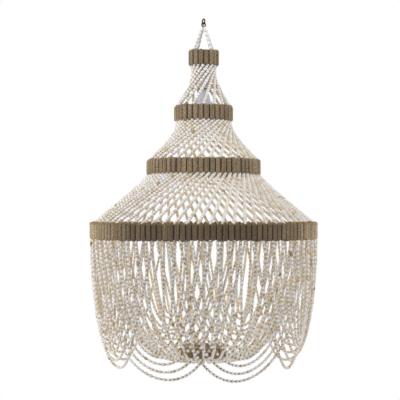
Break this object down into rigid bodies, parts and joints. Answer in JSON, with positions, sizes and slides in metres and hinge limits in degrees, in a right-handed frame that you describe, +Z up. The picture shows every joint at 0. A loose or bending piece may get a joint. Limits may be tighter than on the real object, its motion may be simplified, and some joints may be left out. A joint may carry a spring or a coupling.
{
  "type": "beaded chandelier",
  "caption": "Hanging lamp of jute-wrapped hoops joined by twisted bead strings, with beaded swags and a bowl of strings below the widest hoop, and one screw-in bulb inside.",
  "frame": {"origin": "top of the hanging link, where the ceiling hook carries it", "axes": "+Z up along the vertical axis, the front of the picture looks along +Y from -Y, +X to the right"},
  "size_m": [0.6008, 0.6008, 0.9341],
  "materials": {
    "jute": "rough twisted jute twine",
    "hoop_steel": "dark painted steel strip",
    "bead_string": "whitewashed and beige wooden beads on thread",
    "knot_cord": "waxed cotton cord",
    "black_steel": "black oxide steel wire",
    "bronze": "dark bronzed wire",
    "zinc": "zinc plated steel",
    "holder_plastic": "off-white thermoset",
    "ceramic": "unglazed white ceramic",
    "brass": "bright brass strip",
    "bulb_aluminium": "rolled thread",
    "frosted_glass": "frosted white"
  },
  "bodies": {
    "link": {"hanging_link": "bronze"},
    "ring": {"hanging_ring": "black_steel"},
    "chandelier": {"apex_knot": "knot_cord", "hanger_string_1": "bead_string", "hanger_string_2": "bead_string", "hanger_string_3": "bead_string", "hanger_string_4": "bead_string", "ring_1_hoop": "hoop_steel", "ring_1_wrap": "jute", "ring_2_hoop": "hoop_steel", "ring_2_wrap": "jute", "ring_3_hoop": "hoop_steel", "ring_3_wrap": "jute", "ring_4_hoop": "hoop_steel", "ring_4_wrap": "jute", "ring_5_hoop": "hoop_steel", "ring_5_wrap": "jute", "tier_a_strings_1": "bead_string", "tier_a_strings_2": "bead_string", "tier_a_strings_3": "bead_string", "tier_a_strings_4": "bead_string", "tier_b_strings_1": "bead_string", "tier_b_strings_2": "bead_string", "tier_b_strings_3": "bead_string", "tier_b_strings_4": "bead_string", "tier_c_strings_1": "bead_string", "tier_c_strings_2": "bead_string", "tier_c_strings_3": "bead_string", "tier_c_strings_4": "bead_string", "tier_c_strings_5": "bead_string", "tier_c_strings_6": "bead_string", "tier_c_strings_7": "bead_string", "tier_c_strings_8": "bead_string", "swag_nest_1": "bead_string", "swag_nest_2": "bead_string", "swag_nest_3": "bead_string", "swag_nest_4": "bead_string", "swag_nest_5": "bead_string", "swag_nest_6": "bead_string", "swag_nest_7": "bead_string", "swag_nest_8": "bead_string", "bowl_strings_1": "bead_string", "bowl_strings_2": "bead_string", "bowl_strings_3": "bead_string", "bowl_strings_4": "bead_string", "lamp_crossbar": "zinc", "crossbar_screw_1": "zinc", "crossbar_screw_2": "zinc", "lamp_stem": "zinc", "stem_nut_upper": "zinc", "stem_nut_lower": "zinc", "cord_grip": "holder_plastic", "lampholder_cap": "holder_plastic", "lampholder_shell": "holder_plastic", "lampholder_insert": "ceramic", "lampholder_contact": "brass", "shade_ring": "holder_plastic"},
    "bulb_tip": {"bulb_contact": "zinc"},
    "bulb": {"bulb_screw_cap": "bulb_aluminium", "bulb_glass": "frosted_glass"}
  },
  "joints": [
    {"name": "ring_swing", "type": "hinge", "parent": "link", "child": "ring", "pos_m": [0, 0, -0.0155], "axis": [0.342, -0.9397, 0], "range_deg": [-25, 25]},
    {"name": "chandelier_swing", "type": "hinge", "parent": "ring", "child": "chandelier", "pos_m": [0, 0, -0.0225], "axis": [0.9397, 0.342, 0], "range_deg": [-25, 25]},
    {"name": "bulb_travel", "type": "slide", "parent": "chandelier", "child": "bulb_tip", "axis": [0, 0, -1], "range_m": [0, 0.0109]},
    {"name": "bulb_turn", "type": "hinge", "parent": "bulb_tip", "child": "bulb", "pos_m": [0, 0, -0.18], "axis": [0, 0, -1], "range_deg": [0, 1080]}
  ],
  "couplings": [
    {"joint": "bulb_travel", "follows": "bulb_turn", "m_per_rad": 0.00057757}
  ]
}
